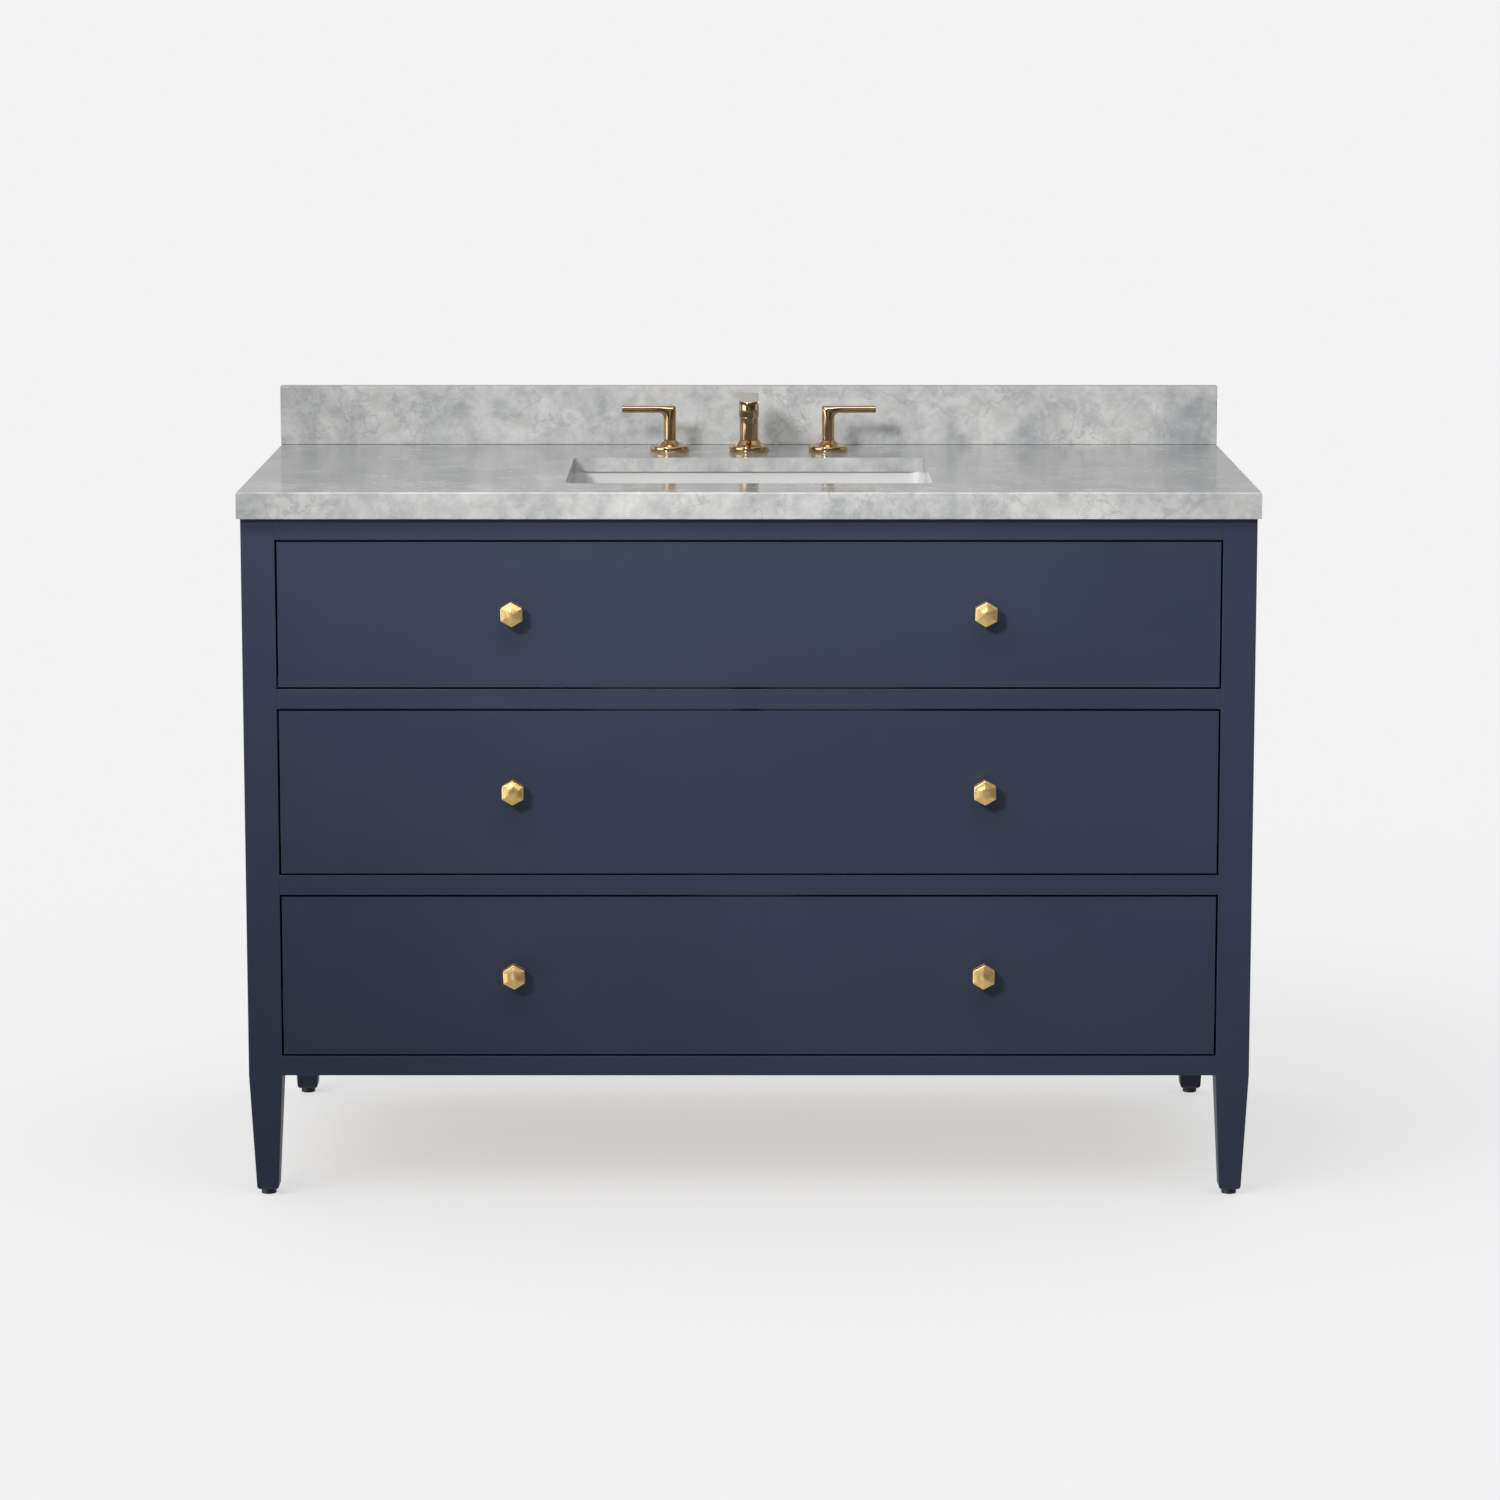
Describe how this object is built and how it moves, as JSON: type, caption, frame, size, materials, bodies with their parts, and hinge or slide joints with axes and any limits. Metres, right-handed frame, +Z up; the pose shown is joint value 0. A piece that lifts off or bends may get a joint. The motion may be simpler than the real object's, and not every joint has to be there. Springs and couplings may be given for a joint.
{
  "type": "bathroom vanity cabinet",
  "caption": "Floor-standing bathroom vanity cabinet with inset drawers, tapered legs, stone top, undermount basin and widespread faucet.",
  "frame": {"origin": "on the floor, at the middle of the overall footprint, knob tips to the back edge of the top", "axes": "+X to the right along the width, +Z up, drawer fronts face -Y"},
  "size_m": [1.2192, 0.576, 0.9398],
  "materials": {
    "navy_paint": "satin navy enamel over timber",
    "carcass_timber": "planed, clear sealed",
    "plywood": "clear sealed",
    "drawer_timber": "clear sealed",
    "marble": "polished white and grey veined marble",
    "white_ceramic": "gloss white glaze",
    "satin_brass": "brushed satin brass",
    "polished_bronze": "polished warm bronze-gold",
    "raw_brass": "machined",
    "zinc_steel": "zinc plated",
    "black_plastic": "matt"
  },
  "bodies": {
    "cabinet": {"front_left_post": "navy_paint", "front_right_post": "navy_paint", "rear_left_post": "navy_paint", "rear_right_post": "navy_paint", "foot_glides": "black_plastic", "left_side_panel": "navy_paint", "right_side_panel": "navy_paint", "top_rail": "navy_paint", "upper_divider_rail": "navy_paint", "lower_divider_rail": "navy_paint", "bottom_rail": "navy_paint", "rear_top_rail": "carcass_timber", "rear_bottom_rail": "carcass_timber", "back_panel": "plywood", "floor_panel": "plywood", "corner_blocks": "carcass_timber", "slide_cleats": "carcass_timber", "slide_tracks": "zinc_steel", "countertop": "marble", "backsplash": "marble", "sink_bowl": "white_ceramic", "sink_clips": "zinc_steel", "drain_flange": "polished_bronze", "drain_nut": "raw_brass", "tailpiece": "raw_brass", "handle_escutcheons": "polished_bronze", "spout_escutcheon": "polished_bronze", "faucet_shanks": "raw_brass", "faucet_nuts": "raw_brass", "spout": "polished_bronze", "aerator": "polished_bronze"},
    "top_drawer": {"top_drawer_front": "navy_paint", "top_drawer_knobs": "satin_brass", "top_drawer_knob_bolts": "zinc_steel", "top_drawer_sides": "drawer_timber", "top_drawer_slide_runners": "zinc_steel", "top_drawer_inner_sides": "drawer_timber", "top_drawer_bases": "drawer_timber", "top_drawer_backs": "drawer_timber"},
    "top_slide_carriers": {"top_drawer_slide_carriers": "zinc_steel"},
    "middle_drawer": {"middle_drawer_front": "navy_paint", "middle_drawer_knobs": "satin_brass", "middle_drawer_knob_bolts": "zinc_steel", "middle_drawer_sides": "drawer_timber", "middle_drawer_slide_runners": "zinc_steel", "middle_drawer_notch_walls": "drawer_timber", "middle_drawer_base": "drawer_timber", "middle_drawer_backs": "drawer_timber"},
    "middle_slide_carriers": {"middle_drawer_slide_carriers": "zinc_steel"},
    "bottom_drawer": {"bottom_drawer_front": "navy_paint", "bottom_drawer_knobs": "satin_brass", "bottom_drawer_knob_bolts": "zinc_steel", "bottom_drawer_sides": "drawer_timber", "bottom_drawer_slide_runners": "zinc_steel", "bottom_drawer_base": "drawer_timber", "bottom_drawer_back": "drawer_timber"},
    "bottom_slide_carriers": {"bottom_drawer_slide_carriers": "zinc_steel"},
    "left_handle": {"left_handle": "polished_bronze"},
    "right_handle": {"right_handle": "polished_bronze"},
    "drain_stopper": {"drain_stopper": "polished_bronze"}
  },
  "joints": [
    {"name": "top_drawer_slide", "type": "slide", "parent": "cabinet", "child": "top_drawer", "axis": [0, -1, 0], "range_m": [0, 0.4]},
    {"name": "top_carrier_slide", "type": "slide", "parent": "cabinet", "child": "top_slide_carriers", "axis": [0, -1, 0], "range_m": [0, 0.2]},
    {"name": "middle_drawer_slide", "type": "slide", "parent": "cabinet", "child": "middle_drawer", "axis": [0, -1, 0], "range_m": [0, 0.4]},
    {"name": "middle_carrier_slide", "type": "slide", "parent": "cabinet", "child": "middle_slide_carriers", "axis": [0, -1, 0], "range_m": [0, 0.2]},
    {"name": "bottom_drawer_slide", "type": "slide", "parent": "cabinet", "child": "bottom_drawer", "axis": [0, -1, 0], "range_m": [0, 0.4]},
    {"name": "bottom_carrier_slide", "type": "slide", "parent": "cabinet", "child": "bottom_slide_carriers", "axis": [0, -1, 0], "range_m": [0, 0.2]},
    {"name": "left_handle_turn", "type": "hinge", "parent": "cabinet", "child": "left_handle", "pos_m": [-0.1016, 0.184, 0.8873], "axis": [0, 0, 1], "range_deg": [0, 90]},
    {"name": "right_handle_turn", "type": "hinge", "parent": "cabinet", "child": "right_handle", "pos_m": [0.1016, 0.184, 0.8873], "axis": [0, 0, 1], "range_deg": [-90, 0]},
    {"name": "stopper_lift", "type": "slide", "parent": "cabinet", "child": "drain_stopper", "axis": [0, 0, 1], "range_m": [0, 0.008]}
  ],
  "couplings": [
    {"joint": "top_carrier_slide", "follows": "top_drawer_slide", "ratio": 0.5},
    {"joint": "middle_carrier_slide", "follows": "middle_drawer_slide", "ratio": 0.5},
    {"joint": "bottom_carrier_slide", "follows": "bottom_drawer_slide", "ratio": 0.5}
  ]
}
